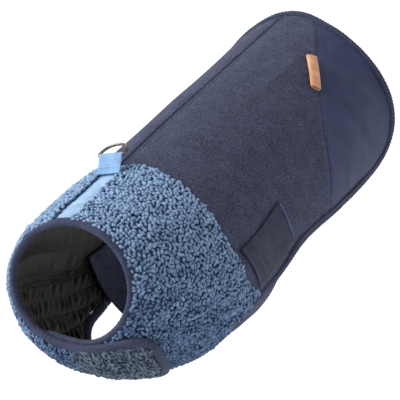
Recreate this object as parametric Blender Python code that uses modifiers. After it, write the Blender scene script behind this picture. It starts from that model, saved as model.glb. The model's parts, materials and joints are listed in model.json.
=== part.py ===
"""Dog winter coat, filled out as worn, with no wearer.

Frame: metres, Z up. X = 0 is the plane of symmetry, the neck is at -Y, the tail at +Y, and the
coat's left flank is at +X. The origin is on the spine, above the shoulders.

Every cloth piece lies on one skin. A point of the skin is named by its station, the distance along
the spine in millimetres, and its angle in degrees, measured round the body from the spine.
"""

import math

import bmesh
import bpy
from mathutils import Vector

MM = 0.001
LEFT, RIGHT = 1, -1

# Sections of the skin, one row for each: station, height of the spine, Y and Z of the underside,
# half the width, and how peaked the back is (1 is round).
SECTIONS = (
    (-120, -1, -150, -101, 60, 1.00),
    (-92, 0.5, -146, -121, 77, 1.02),
    (-50, 0.5, -122, -147, 90, 1.05),
    (0, 2.05, -45, -188, 99, 1.10),
    (80, 4, 55, -209, 100, 1.12),
    (160, 4, 150, -210, 100, 1.12),
    (240, 4, 238, -208, 102, 1.12),
    (358, 4, 358, -206, 104, 1.10),
)

# Outlines of the two halves from the tail to the neck, at the outer edge of the binding. Columns:
# station, angle. The hem runs to the corner by the foreleg, and the foreleg edge on from there.
HEM = (
    (356, 0), (355, 14), (345, 31), (339, 49), (335, 70), (332, 88), (326, 101), (312, 112),
    (288, 118), (240, 119), (175, 115), (132, 111), (100, 110.5), (72, 116), (34, 121.5),
)
LEG_LEFT = (
    (34, 121.5), (22, 125), (13, 131), (6, 138), (0, 147), (-6, 157), (-12, 168), (-16, 180),
)
LEG_RIGHT = (
    (34, 121.5), (20, 123.5), (6, 126), (-6, 131), (-14, 139), (-18, 150), (-19, 164), (-19, 180),
)
UNDER_END = ((-22, 192), (-32, 204), (-46, 215), (-64, 223), (-82, 227), (-98, 227), (-110, 222))
UNDER_TOP = ((-117, 213), (-120, 198), (-120, 180))
FLAP_END = ((-21, 191), (-28, 203), (-40, 213), (-54, 221), (-69, 227), (-83, 229), (-95, 227))
FLAP_TOP = ((-105, 220), (-112, 210), (-117, 198), (-119, 184))
NECK = ((-120, 165), (-120, 140), (-120, 110), (-120, 80), (-120, 50), (-120, 20), (-120, 0))

YOKE_SEAM = ((-11, 0), (-11, 18), (-11, 36), (-12.5, 56), (-10, 78), (-1, 91), (9, 105))
TAIL_SEAM = ((336, 25), (249, 49), (198, 69.5), (177, 89), (166, 107))
PATCH = {"rear_top": (78, 79.5), "front_top": (3, 86), "front_low": (29, 112), "rear_low": (88, 103)}

# Cloth: thickness of each kind, how far each layer lies from the skin, and the gaps between pieces.
YOKE_T = 3.0
BACK_T = 1.5
TAIL_T = 1.2
PATCH_T = 1.2
LINING_T = 1.5
SHELL_LIFT = 0.25
LINING_LIFT = -0.7
OVERLAY_GAP = 0.45
SEAM_GAP = 0.3

# Binding: width, thickness, lift of its middle, corners of its oval and how square the oval is.
BINDING_W = 9.0
BINDING_T = 6.2
BINDING_LIFT = 0.7
OVAL_CORNERS = 8
OVAL_POWER = 0.6
BINDING_END = 0.05  # rows of the outline

# Chest closure: how far each layer steps off the skin, and over which angles.
CLOSURE_STEP = 6.8
CLOSURE_FROM = 150.0
CLOSURE_SPAN = 50.0

# Grids of the cloth panels: rows round the body, columns along it.
YOKE_WRAP_ROWS = 17
YOKE_COLUMNS = 9
BACK_COLUMNS = 8
TAIL_COLUMNS = 6
PATCH_GRID = 6
LINING_ROWS = 28
LINING_COLUMNS = (0, 0.045, 0.09, 0.135, 0.18, 0.225, 0.27, 0.34, 0.43, 0.56, 0.75, 1.0)

# Webbing strip: its two ends by station, and the angle up to which the yoke makes room for it.
WEB_W = 25.0
WEB_T = 1.2
WEB_LIFT = 0.4
STRIP = (-109.8, -11.4)
SHARE_ANGLE = 36.0

# Keeper: where its two ends meet the strip, how they stand apart there and at the waist, and the
# angles over which it wraps the ring's bar.
KEEPER_BASE = Vector((0, -31.0, 4.7))
KEEPER_FOOT = 0.35
KEEPER_WAIST = (0.5, 7.0)
KEEPER_WRAP = (-20.0, 200.0)
KEEPER_CLEAR = 0.55

# Ring: the joint's axis is its bar's. The arch is half a circle on two short straights.
RING_AXIS = Vector((0, -17.5, 17.0))
WIRE_R = 1.4
RING_HALF = 14.3
RING_STRAIGHT = 2.0
RING_CORNER = 2.0
RING_LEAN = 12.0

# Belly strap: its two edges by station, the angle where it starts, thickness and lift.
STRAP = (37.0, 80.0)
STRAP_FROM = 92.0
STRAP_T = 2.0
STRAP_LIFT = -5.0

# Leather tab: its two ends on the tail seam as (station, angle), and the height of its fold.
TAB = ((272, 41.5), (231, 55.0))
TAB_REACH = 11.0
TAB_T = 1.4
TAB_RISE = 3.2

# Name: colour, roughness, metallic.
MATERIALS = {
    "sherpa": ((0.115, 0.205, 0.36), 0.95, 0.0),
    "fleece": ((0.047, 0.054, 0.088), 0.95, 0.0),
    "smooth_weave": ((0.055, 0.068, 0.125), 0.7, 0.0),
    "quilt": ((0.018, 0.014, 0.012), 0.6, 0.0),
    "binding": ((0.032, 0.034, 0.07), 0.85, 0.0),
    "webbing": ((0.22, 0.46, 0.8), 0.8, 0.0),
    "leather": ((0.6, 0.3, 0.13), 0.6, 0.0),
    "metal": ((0.25, 0.23, 0.2), 0.35, 1.0),
}


def clear_scene():
    for obj in list(bpy.data.objects):
        bpy.data.objects.remove(obj, do_unlink=True)


def make_materials():
    made = {}
    for name, (colour, roughness, metallic) in MATERIALS.items():
        material = bpy.data.materials.new(name)
        material.use_nodes = True
        shader = material.node_tree.nodes["Principled BSDF"]
        shader.inputs["Base Color"].default_value = (*colour, 1)
        shader.inputs["Roughness"].default_value = roughness
        shader.inputs["Metallic"].default_value = metallic
        material.diffuse_color = (*colour, 1)
        made[name] = material
    return made


# ---- curves through short tables -------------------------------------------------------------


def slope(rows, i):
    """Rate of change of a row's other columns, by its first column, at row i."""
    a, b = rows[max(i - 1, 0)], rows[min(i + 1, len(rows) - 1)]
    return [(q - p) / (b[0] - a[0]) for p, q in zip(a[1:], b[1:])]


def section(station):
    """The section at this station: a smooth curve through the rows of SECTIONS."""
    rows = SECTIONS
    i = max(k for k in range(len(rows) - 1) if k == 0 or rows[k][0] <= station)
    h = rows[i + 1][0] - rows[i][0]
    f = (station - rows[i][0]) / h
    starts, ends = slope(rows, i), slope(rows, i + 1)
    found = []
    for p, q, m, n in zip(rows[i][1:], rows[i + 1][1:], starts, ends):
        hold = (2 * f**3 - 3 * f**2 + 1) * p + (3 * f**2 - 2 * f**3) * q
        found.append(hold + (f**3 - 2 * f**2 + f) * h * m + (f**3 - f**2) * h * n)
    return found


def along(table, t):
    """Point t of the way (0 to 1, by rows) along a smooth curve through a table of points."""
    last = len(table) - 1
    x = min(max(t, 0.0), 1.0) * last
    i = min(int(x), last - 1)
    f = x - i
    p1, p2 = table[i], table[i + 1]
    p0 = table[i - 1] if i else tuple(2 * a - b for a, b in zip(p1, p2))
    p3 = table[i + 2] if i + 2 <= last else tuple(2 * b - a for a, b in zip(p1, p2))
    return tuple(
        0.5 * (2 * b + (c - a) * f + (2 * a - 5 * b + 4 * c - d) * f**2 + (3 * b - a - 3 * c + d) * f**3)
        for a, b, c, d in zip(p0, p1, p2, p3)
    )


def ease(x):
    """0 below 0, 1 above 1, and a smooth step between them."""
    x = min(max(x, 0.0), 1.0)
    return x * x * (3 - 2 * x)


# ---- the skin --------------------------------------------------------------------------------


def flat_skin(station, angle):
    top, low_y, low_z, half, peak = section(station)
    turn = math.radians(angle)
    down = (1 - math.cos(turn)) / 2
    across = half * math.copysign(abs(math.sin(turn)) ** peak, math.sin(turn))
    return Vector((across, station + (low_y - station) * down, top + (low_z - top) * down))


def skin_axes(station, angle):
    """How the skin runs for one degree of angle and for one millimetre of station."""
    round_body = flat_skin(station, angle + 0.5) - flat_skin(station, angle - 0.5)
    length = flat_skin(station + 0.5, angle) - flat_skin(station - 0.5, angle)
    return round_body, length


def closure(side, angle):
    """Lift of the chest closure's two layers: the left one goes under and the right one over."""
    if side == LEFT:
        return -CLOSURE_STEP * ease((angle - CLOSURE_FROM) / CLOSURE_SPAN)
    return CLOSURE_STEP * ease((angle - 360 + CLOSURE_FROM + CLOSURE_SPAN) / CLOSURE_SPAN)


def skin(side, station, angle, lift=0.0):
    """Point of the skin in millimetres, moved out by lift."""
    round_body, length = skin_axes(station, angle)
    normal = round_body.cross(length).normalized()
    point = flat_skin(station, angle) + normal * (lift + closure(side, angle))
    return Vector((side * point.x, point.y, point.z))


def inset(table, t, distance):
    """(station, angle) this distance inside an outline, at right angles to it."""
    step = 0.004
    station, angle = along(table, t)
    before, after = along(table, max(t - step, 0.0)), along(table, min(t + step, 1.0))
    round_body, length = skin_axes(station, angle)
    run = length * (after[0] - before[0]) + round_body * (after[1] - before[1])
    normal = round_body.cross(length).normalized()
    inward = run.cross(normal).normalized() * distance
    a, b, c = length.dot(length), length.dot(round_body), round_body.dot(round_body)
    p, q = inward.dot(length), inward.dot(round_body)
    det = a * c - b * b
    return station + (p * c - q * b) / det, angle + (q * a - p * b) / det


# ---- building pieces -------------------------------------------------------------------------


def add_object(name, mesh, material):
    obj = bpy.data.objects.new(name, mesh)
    coat.objects.link(obj)
    mesh.materials.append(materials[material])
    for face in mesh.polygons:
        face.use_smooth = True
    return obj


def add_sheet(name, rows, thickness, material, flip=False):
    """A shell on a grid of points: each row is a list of Vectors in millimetres. flip turns it over."""
    wide = len(rows[0])
    points = [tuple(point * MM) for row in rows for point in row]
    faces = [
        (i * wide + j, (i + 1) * wide + j, (i + 1) * wide + j + 1, i * wide + j + 1)
        for i in range(len(rows) - 1)
        for j in range(wide - 1)
    ]
    if flip:
        faces = [(a, d, c, b) for a, b, c, d in faces]
    mesh = bpy.data.meshes.new(name)
    mesh.from_pydata(points, [], faces)
    obj = add_object(name, mesh, material)
    shell = obj.modifiers.new("thickness", "SOLIDIFY")
    shell.thickness = thickness * MM
    shell.offset = 1
    return obj


def add_panel(name, side, near, far, steps, columns, lift, thickness, material):
    """A cloth panel between two curves of the skin. near and far give (station, angle) for 0 to 1."""
    rows = []
    for f in steps:
        (s0, a0), (s1, a1) = near(f), far(f)
        rows.append([skin(side, s0 + (s1 - s0) * c, a0 + (a1 - a0) * c, lift) for c in columns])
    return add_sheet(name, rows, thickness, material, flip=side == RIGHT)


def oval(width, thickness):
    """Corners of a flat oval: distance across and distance out."""
    corners = []
    for k in range(OVAL_CORNERS):
        turn = 2 * math.pi * k / OVAL_CORNERS
        c, s = math.cos(turn), math.sin(turn)
        across = math.copysign(abs(c) ** OVAL_POWER, c)
        out = math.copysign(abs(s) ** OVAL_POWER, s)
        corners.append((width / 2 * across, thickness / 2 * out))
    return corners


def add_tube(name, frames, profile, material):
    """A solid strip: the profile set at each frame (centre, across, out), with closed ends."""
    points = []
    for centre, across, out in frames:
        points.extend(tuple((centre + across * a + out * b) * MM) for a, b in profile)
    n = len(profile)
    faces = [
        (i * n + k, i * n + (k + 1) % n, (i + 1) * n + (k + 1) % n, (i + 1) * n + k)
        for i in range(len(frames) - 1)
        for k in range(n)
    ]
    faces.append(tuple(reversed(range(n))))
    faces.append(tuple(range((len(frames) - 1) * n, len(frames) * n)))
    mesh = bpy.data.meshes.new(name)
    mesh.from_pydata(points, [], faces)
    form = bmesh.new()
    form.from_mesh(mesh)
    bmesh.ops.recalc_face_normals(form, faces=form.faces)
    form.to_mesh(mesh)
    form.free()
    return add_object(name, mesh, material)


def binding_frames(side, table, ts):
    """Frames of a binding whose outer edge follows this outline."""
    frames = []
    for t in ts:
        station, angle = inset(table, t, BINDING_W / 2)
        edge_station, edge_angle = along(table, t)
        centre = skin(side, station, angle, BINDING_LIFT)
        edge = skin(side, edge_station, edge_angle, BINDING_LIFT)
        out = (skin(side, station, angle, BINDING_LIFT + 1) - centre).normalized()
        across = edge - centre
        across = (across - out * across.dot(out)).normalized()
        frames.append((centre, across, out))
    return frames


def span(first, last, count):
    return [first + (last - first) * k / (count - 1) for k in range(count)]


# ---- outlines and the curves that share them ----------------------------------------------------

OUTLINE = {
    LEFT: HEM + LEG_LEFT[1:] + UNDER_END + UNDER_TOP + NECK,
    RIGHT: HEM + LEG_RIGHT[1:] + FLAP_END + FLAP_TOP + NECK,
}
WRAP = {LEFT: UNDER_END, RIGHT: FLAP_END}
TOPS = {LEFT: UNDER_TOP, RIGHT: FLAP_TOP}
PANEL_EDGE = BINDING_W + 2 * SEAM_GAP


def mark(side, rows):
    """Place on the outline, from 0 to 1, of the row this many rows after the tail."""
    return rows / (len(OUTLINE[side]) - 1)


CORNER = len(HEM) - 1
WRAP_START = CORNER + len(LEG_LEFT) - 1


def edge(side, rows):
    """(station, angle) of a panel's edge beside the binding."""
    return inset(OUTLINE[side], mark(side, rows), PANEL_EDGE)


def seam_edge(side, t, shift):
    """(station, angle) on the yoke seam, from the spine (0) to the foreleg corner (1)."""
    corner = edge(side, CORNER)
    station, angle = along(YOKE_SEAM + (corner,), t)
    return station + shift, angle


def by_table(pairs, f):
    """Straight-line look-up of a value in a table of (place, value)."""
    for (f0, v0), (f1, v1) in zip(pairs, pairs[1:]):
        if f <= f1:
            return v0 + (v1 - v0) * (f - f0) / (f1 - f0)
    return pairs[-1][1]


SPINE_ANGLE = 0.45

# Rows of the outline where the tail seam starts and ends, and the steps along the two seams.
TAIL_TOP, TAIL_LOW = 1.7, 10.2
TAIL_STEPS = (0, 0.12, 0.25, 0.37, 0.5, 0.62, 0.75, 0.83, 0.9, 0.95, 1)
BACK_PARTS = (0.14, 0.7)
BACK_STEPS = (
    span(0, BACK_PARTS[0], 4)
    + [BACK_PARTS[0] + (BACK_PARTS[1] - BACK_PARTS[0]) * t for t in TAIL_STEPS[1:]]
    + span(BACK_PARTS[1], 1, 8)[1:]
)


def off_spine(point):
    return point[0], max(point[1], SPINE_ANGLE)


def angle_at(station, across):
    """Angle of the point of the skin that is this far from the plane of symmetry."""
    _, _, _, half, peak = section(station)
    return math.degrees(math.asin((abs(across) / half) ** (1 / peak)))


def beside_strip(station, angle):
    """Closes the angles near the spine up to the edge of the webbing strip."""
    start = angle_at(station, WEB_W / 2 + SEAM_GAP)
    if angle < SHARE_ANGLE:
        angle = start + angle * (SHARE_ANGLE - start) / SHARE_ANGLE
    return station, angle


def build_yoke(name, side):
    """Half the yoke: from the neck to the yoke seam, then to the foreleg edge and the chest layer."""
    total = len(OUTLINE[side]) - 1
    wrap_end = WRAP_START + len(WRAP[side])
    seam_part = 0.46

    # Columns: place round the yoke, rows after the tail of the lower edge, rows of the neck edge.
    low = ((seam_part, CORNER), (0.74, WRAP_START), (1.0, wrap_end - 2.6))
    neck = ((0, total), (seam_part, total - 4.1), (0.74, total - 7), (1.0, wrap_end - 1.4))

    def outer(f):
        if f < seam_part:
            return seam_edge(side, f / seam_part, -SEAM_GAP / 2)
        return edge(side, by_table(low, f))

    def inner(f):
        return edge(side, by_table(neck, f))

    steps = [seam_part * f for f in BACK_STEPS] + span(seam_part, 1, YOKE_WRAP_ROWS)[1:]
    rows = []
    for f in steps:
        (s0, a0), (s1, a1) = inner(f), outer(f)
        line = [(s0 + (s1 - s0) * c, a0 + (a1 - a0) * c) for c in span(0, 1, YOKE_COLUMNS)]
        rows.append([skin(side, *beside_strip(*place), SHELL_LIFT) for place in line])
    add_sheet(name, rows, YOKE_T, "sherpa", flip=side == RIGHT)


def build_back(name, side):
    """Back panel: from the yoke seam to the tail edge, the tail seam and the flank hem."""
    tail_end, seam_end = BACK_PARTS
    low_end = CORNER - BINDING_END

    def far(f):
        if f < tail_end:
            return off_spine(edge(side, TAIL_TOP * f / tail_end))
        if f < seam_end:
            return tail_seam((f - tail_end) / (seam_end - tail_end), -SEAM_GAP / 2)
        return edge(side, TAIL_LOW + (low_end - TAIL_LOW) * (f - seam_end) / (1 - seam_end))

    def near(f):
        return off_spine(seam_edge(side, f, SEAM_GAP / 2))

    add_panel(name, side, near, far, BACK_STEPS, span(0, 1, BACK_COLUMNS), SHELL_LIFT, BACK_T, "fleece")


def tail_seam(t, shift):
    """(station, angle) on the tail seam, from the tail edge (0) to the flank hem (1)."""
    top, low = edge(LEFT, TAIL_TOP), edge(LEFT, TAIL_LOW)
    station, angle = along((top,) + TAIL_SEAM[1:-1] + (low,), t)
    return station + 1.4 * shift, angle


def build_tail(name, side):
    """Corner panel at the rear, between the tail seam and the hem."""

    def near(f):
        return tail_seam(f, SEAM_GAP / 2)

    # Columns: place along the tail seam, rows of the outline.
    rim = ((0, 2.0), (0.25, 3.0), (0.5, 3.8), (0.75, 5.2), (0.83, 6.1), (0.9, 7.2), (0.95, 8.4), (1, 10.0))

    def far(f):
        return edge(side, by_table(rim, f))

    add_panel(name, side, near, far, TAIL_STEPS, span(0, 1, TAIL_COLUMNS), SHELL_LIFT, TAIL_T, "smooth_weave")


def build_patch(name, side):
    """Flank patch, sewn on the outside of the back panel."""

    def near(f):
        return along((PATCH["front_top"], PATCH["front_low"]), f)

    def far(f):
        return along((PATCH["rear_top"], PATCH["rear_low"]), f)

    lift = SHELL_LIFT + BACK_T + OVERLAY_GAP
    places = span(0, 1, PATCH_GRID)
    add_panel(name, side, near, far, places, places, lift, PATCH_T, "smooth_weave")


def build_lining(name, side):
    """Lining of one half, from the neck edge to the hem and the lower edge of the chest layer."""
    total = len(OUTLINE[side]) - 1
    wrap_end = WRAP_START + len(WRAP[side])

    # Columns: place round the lining, rows of the outer edge, rows of the neck edge.
    far_rows = (
        (0, 0), (0.2, 5), (0.26, 7), (0.31, 9), (0.36, 11), (0.42, 12), (0.47, 13), (0.53, CORNER),
        (0.76, WRAP_START), (1, wrap_end - 2.6),
    )
    near_rows = (
        (0, total), (0.2, total - 2.83), (0.26, total - 3.07), (0.31, total - 3.2), (0.36, total - 3.33),
        (0.42, total - 3.47), (0.47, total - 3.73), (0.53, total - 4.1), (0.76, total - 7), (1, wrap_end - 1.4),
    )

    def far(f):
        return off_spine(edge(side, by_table(far_rows, f)))

    def near(f):
        return off_spine(edge(side, by_table(near_rows, f)))

    lift = LINING_LIFT - LINING_T
    rows = span(0, 1, LINING_ROWS)
    add_panel(name, side, near, far, rows, LINING_COLUMNS, lift, LINING_T, "quilt")


def build_bindings():
    """Bindings: round the hem and tail, along both foreleg edges, and round the neck and chest."""
    profile = oval(BINDING_W - SEAM_GAP, BINDING_T)
    hem, legs, necks = {}, {}, {}
    for side in (LEFT, RIGHT):
        table = OUTLINE[side]
        wrap_end = WRAP_START + len(WRAP[side])
        ends = {
            "hem": span(0, CORNER - BINDING_END, 22),
            "leg": span(CORNER + BINDING_END, WRAP_START - BINDING_END, 12),
            "neck": span(WRAP_START + BINDING_END, wrap_end + 1, 13) + span(wrap_end + 1, len(table) - 1, 16)[1:],
        }
        found = {name: binding_frames(side, table, [mark(side, r) for r in rows]) for name, rows in ends.items()}
        hem[side], legs[side], necks[side] = found["hem"], found["leg"], found["neck"]
    for name, halves in (("hem_binding", hem), ("neck_binding", necks)):
        left, right = halves[LEFT], halves[RIGHT]
        if name == "hem_binding":
            frames = list(reversed(left)) + right[1:]
        else:
            frames = left + list(reversed(right))[1:]
        add_tube(name, frames, profile, "binding")
    add_tube("leg_binding_left", legs[LEFT], profile, "binding")
    add_tube("leg_binding_right", legs[RIGHT], profile, "binding")


def build_strip():
    """Webbing along the spine between the yoke halves, from the neck binding to the yoke seam."""
    rows = []
    for across in span(-WEB_W / 2, WEB_W / 2, 7):
        row = []
        for station in span(*STRIP, 9):
            point = skin(LEFT, station, angle_at(station, across), WEB_LIFT)
            row.append(Vector((across, point.y, point.z)))
        rows.append(row)
    add_sheet("webbing_strip", rows, WEB_T, "webbing")


def build_keeper():
    """Folded loop of webbing that stands off the back and holds the ring's bar."""
    bend = WIRE_R + KEEPER_CLEAR
    up = (RING_AXIS - KEEPER_BASE).normalized()
    face = Vector((0, -up.z, up.y))
    apart, height = KEEPER_WAIST
    path = [KEEPER_BASE + face * KEEPER_FOOT, KEEPER_BASE + face * apart + up * height]
    for degrees in span(*KEEPER_WRAP, 9):
        turn = math.radians(degrees)
        path.append(RING_AXIS + face * bend * math.cos(turn) + up * bend * math.sin(turn))
    path += [KEEPER_BASE - face * apart + up * height, KEEPER_BASE - face * KEEPER_FOOT]
    rows = [[point + Vector((x, 0, 0)) for point in path] for x in (-WEB_W / 2, WEB_W / 2)]
    add_sheet("ring_keeper", rows, WEB_T, "webbing")


def build_ring():
    """D-shaped ring, with its bar on the joint's axis."""
    pivot = bpy.data.objects.new("ring_pivot", None)
    coat.objects.link(pivot)
    pivot.location = RING_AXIS * MM
    curve = bpy.data.curves.new("d_ring", "CURVE")
    curve.dimensions = "3D"
    bar = RING_HALF - RING_CORNER
    path = [(x, 0.0) for x in span(-bar, bar, 5)]
    for turn in span(0, math.pi, 13):
        path.append((RING_HALF * math.cos(turn), RING_STRAIGHT + RING_HALF * math.sin(turn)))
    spline = curve.splines.new("POLY")
    spline.points.add(len(path) - 1)
    lean = math.radians(RING_LEAN)
    for point, (x, reach) in zip(spline.points, path):
        point.co = (x * MM, reach * math.cos(lean) * MM, reach * math.sin(lean) * MM, 1)
    spline.use_cyclic_u = True
    curve.bevel_depth = WIRE_R * MM
    curve.bevel_resolution = 2
    curve.materials.append(materials["metal"])
    ring = bpy.data.objects.new("d_ring", curve)
    ring.parent = pivot
    coat.objects.link(ring)


def build_tab():
    """Leather tab, folded along its front edge, with its two ends caught in the left tail seam."""
    base = SHELL_LIFT + BACK_T + OVERLAY_GAP + TAB_T / 2
    # Columns: share of the reach, share of the rise. The fold is at the front.
    shape = ((0.02, 0.0), (0.55, 0.0), (0.86, 0.08), (1.0, 0.5), (0.88, 0.95), (0.55, 1.0), (0.02, 0.72))
    rows = []
    for reach, rise in shape:
        row = []
        for f in span(0, 1, 7):
            station, angle = along(TAB, f)
            round_body, length = skin_axes(station, angle)
            run = length * (TAB[1][0] - TAB[0][0]) + round_body * (TAB[1][1] - TAB[0][1])
            normal = round_body.cross(length).normalized()
            forward = normal.cross(run).normalized()
            if forward.y > 0:
                forward = -forward
            lift = base + rise * TAB_RISE
            row.append(flat_skin(station, angle) + normal * lift + forward * (reach * TAB_REACH))
        rows.append(row)
    obj = add_sheet("leather_tab", rows, TAB_T, "leather")
    obj.modifiers["thickness"].offset = 0


def build_strap():
    """Belly strap, from inside one flank, under the belly, to inside the other."""
    rows = []
    for angle in span(STRAP_FROM, 360 - STRAP_FROM, 21):
        row = []
        for station in span(STRAP[1], STRAP[0], 4):
            round_body, length = skin_axes(station, angle)
            normal = round_body.cross(length).normalized()
            row.append(flat_skin(station, angle) + normal * STRAP_LIFT)
        rows.append(row)
    rows.reverse()
    add_sheet("belly_strap", rows, STRAP_T, "fleece")


clear_scene()
coat = bpy.data.collections.new("dog_winter_coat")
bpy.context.scene.collection.children.link(coat)
materials = make_materials()
for word, half in (("left", LEFT), ("right", RIGHT)):
    build_yoke(f"yoke_{word}", half)
    build_back(f"back_{word}", half)
    build_tail(f"tail_{word}", half)
    build_patch(f"patch_{word}", half)
    build_lining(f"lining_{word}", half)
build_bindings()
build_strip()
build_keeper()
build_ring()
build_tab()
build_strap()
bpy.context.view_layer.update()
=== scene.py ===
"""Looks of a dog winter coat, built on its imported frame.

Metres, +Z up: the neck is at -Y, the tail at +Y, and the coat's left flank at +X. Lengths given to
the helpers in millimetres say so in their names. Each cloth piece is a thin shell on the form of
its own solid, with its seams, creases, pile and stitches modelled on it.
"""

import itertools
import json
import math

import bmesh
import bpy
import numpy as np
from mathutils import Matrix, Vector


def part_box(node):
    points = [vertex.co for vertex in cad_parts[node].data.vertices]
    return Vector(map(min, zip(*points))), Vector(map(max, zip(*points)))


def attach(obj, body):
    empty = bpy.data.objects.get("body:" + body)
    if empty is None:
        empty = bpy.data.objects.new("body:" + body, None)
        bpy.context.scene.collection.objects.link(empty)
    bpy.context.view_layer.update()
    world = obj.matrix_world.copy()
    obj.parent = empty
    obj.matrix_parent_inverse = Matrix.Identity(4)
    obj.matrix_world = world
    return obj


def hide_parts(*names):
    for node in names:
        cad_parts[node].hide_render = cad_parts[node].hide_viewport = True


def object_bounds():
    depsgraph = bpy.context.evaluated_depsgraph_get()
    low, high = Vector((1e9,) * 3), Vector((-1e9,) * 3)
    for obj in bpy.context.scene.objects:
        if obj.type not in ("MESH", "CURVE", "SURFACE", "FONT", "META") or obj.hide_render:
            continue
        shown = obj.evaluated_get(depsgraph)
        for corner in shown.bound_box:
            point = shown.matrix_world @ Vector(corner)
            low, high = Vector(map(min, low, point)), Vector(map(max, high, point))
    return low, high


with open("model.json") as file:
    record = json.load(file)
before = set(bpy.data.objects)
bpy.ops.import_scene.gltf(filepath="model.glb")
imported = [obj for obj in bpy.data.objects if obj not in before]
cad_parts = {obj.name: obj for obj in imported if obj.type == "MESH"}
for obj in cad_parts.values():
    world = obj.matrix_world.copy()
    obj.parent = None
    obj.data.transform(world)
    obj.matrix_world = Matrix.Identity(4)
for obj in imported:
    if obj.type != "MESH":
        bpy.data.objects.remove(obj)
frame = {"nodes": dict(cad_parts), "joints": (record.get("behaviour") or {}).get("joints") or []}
cad_low, cad_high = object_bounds()

MM = 0.001
SIDES = ("left", "right")
MIDDLE = (cad_low + cad_high) / 2
SEED = {"left": 1, "right": 2}
RING_BAR = np.array(frame["joints"][0]["pos_m"])

# Ends of the body's long middle line, which the cloth faces away from.
NECK_END = cad_low.y + 68 * MM
TAIL_END = cad_high.y - 26 * MM

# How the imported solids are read. SAME_SIDE and SAME_PLANE are cosines of the angle between
# neighbouring faces.
SAME_POINT = 2e-6
SAME_SIDE = 0.55
SAME_PLANE = 0.9995
NOTCH_PASSES = 3
RING_CORNERS = 8
WIDEST_CAP = 12 * MM
CLOTH_REACH = 8 * MM

# Lengths in metres, angles in radians, and shares of a width or a height.
UNDER_BINDING = 4.2 * MM
BINDING_STEP = 1.3 * MM
KEEPER_STEP = 0.6 * MM
RING_BEND = 2 * MM
TAB_CORNER = math.radians(70)
TAB_CREASE = 0.55
EDGE_ROWS = (0.07, 0.93)
CREASE_FADE = 1.6

# What repeats along an edge, in mm.
CRIMP_PITCH = 3.4
ZIGZAG_PITCH = 1.6
ZIGZAG_MARGIN = 2.0
KEEPER_RIB = 1.5
KEEPER_ROWS = (3.0, 4.6, 6.2)

BINDING_SIDES = 18
KEEPER_COLUMNS = 36


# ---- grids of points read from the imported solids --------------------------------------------


def away_from_middle(points):
    """Directions from the body's long middle line to each of these points."""
    points = np.asarray(points, float)
    middle = points.copy()
    middle[..., 0] = 0
    middle[..., 1] = np.clip(points[..., 1], NECK_END, TAIL_END)
    middle[..., 2] = MIDDLE.z
    out = points - middle
    return out / np.linalg.norm(out, axis=-1, keepdims=True)


def welded(node):
    """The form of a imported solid, with its corners joined."""
    form = bmesh.new()
    form.from_mesh(frame["nodes"][node].data)
    bmesh.ops.remove_doubles(form, verts=form.verts, dist=SAME_POINT)
    form.normal_update()
    return form


def neighbours(form):
    return {v.index: {edge.other_vert(v).index for edge in v.link_edges} for v in form.verts}


def one_side(node, outward):
    """The faces on the outer (or inner) side of a cloth wall, as a bmesh."""
    form = welded(node)
    sign = 1 if outward else -1

    def facing(face):
        out = away_from_middle(face.calc_center_median())
        return sign * face.normal.dot(Vector(out)) * math.sqrt(face.calc_area())

    first = max(form.faces, key=facing)
    kept, waiting = {first}, [first]
    while waiting:
        face = waiting.pop()
        for edge in face.edges:
            for other in edge.link_faces:
                if other not in kept and other.normal.dot(face.normal) > SAME_SIDE:
                    kept.add(other)
                    waiting.append(other)

    def notched(face):
        return face not in kept and sum(bool(kept & set(edge.link_faces)) for edge in face.edges) > 1

    for _ in range(NOTCH_PASSES):
        kept |= {face for face in form.faces if notched(face)}
    rest = [face for face in form.faces if face not in kept]
    bmesh.ops.delete(form, geom=rest, context="FACES")
    form.verts.index_update()
    form.verts.ensure_lookup_table()
    return form


def rim_of(form):
    """The vertices round the open edge of a patch, in order."""
    first = next(edge for edge in form.edges if edge.is_boundary)
    rim, vertex, edge = [first.verts[0].index], first.verts[1], first
    while vertex.index != rim[0]:
        rim.append(vertex.index)
        edge = next(e for e in vertex.link_edges if e.is_boundary and e is not edge)
        vertex = edge.other_vert(vertex)
    return rim


def peel(near, rim, start, wide, rows):
    """Takes a patch apart row by row from one side of its rim. None if that side isn't a row."""
    count = len(rim)
    found = [[rim[(start + k) % count] for k in range(wide)]]
    used = set(found[0])
    for row in range(1, rows):
        touching = set().union(*(near[v] for v in found[-1])) - used
        if len(touching) != wide:
            return None
        line = [rim[(start - row) % count]]
        while line[-1] in touching and len(line) < wide:
            following = [v for v in near[line[-1]] & touching if v not in line]
            if len(following) != 1:
                return None
            line.append(following[0])
        if line[-1] != rim[(start + wide - 1 + row) % count]:
            return None
        used |= touching
        found.append(line)
    return found


def rows_of(node, outward=True):
    """Points of one side of a wall, as rows across its shorter way."""
    form = one_side(node, outward)
    near = neighbours(form)
    rim = rim_of(form)
    both = (len(rim) + 4) // 2
    root = math.isqrt(both * both - 4 * len(form.verts))
    wide, rows = (both - root) // 2, (both + root) // 2
    tries = (peel(near, rim, start, wide, rows) for start in range(len(rim)))
    order = next(found for found in tries if found)
    grid = np.array([[form.verts[v].co[:] for v in line] for line in order])
    form.free()
    return grid


def grid_of(node, outward=True):
    """Points of one side of a wall: the first index goes down round the body, the second to the tail."""
    grid = rows_of(node, outward)
    square = grid.shape[0] == grid.shape[1]
    if square and np.ptp(grid[:, 0, 2]) < np.ptp(grid[0, :, 2]):
        grid = grid.transpose(1, 0, 2)
    if grid[0, :, 2].mean() < grid[-1, :, 2].mean():
        grid = grid[::-1]
    if grid[:, 0, 1].mean() > grid[:, -1, 1].mean():
        grid = grid[:, ::-1]
    return grid


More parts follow.
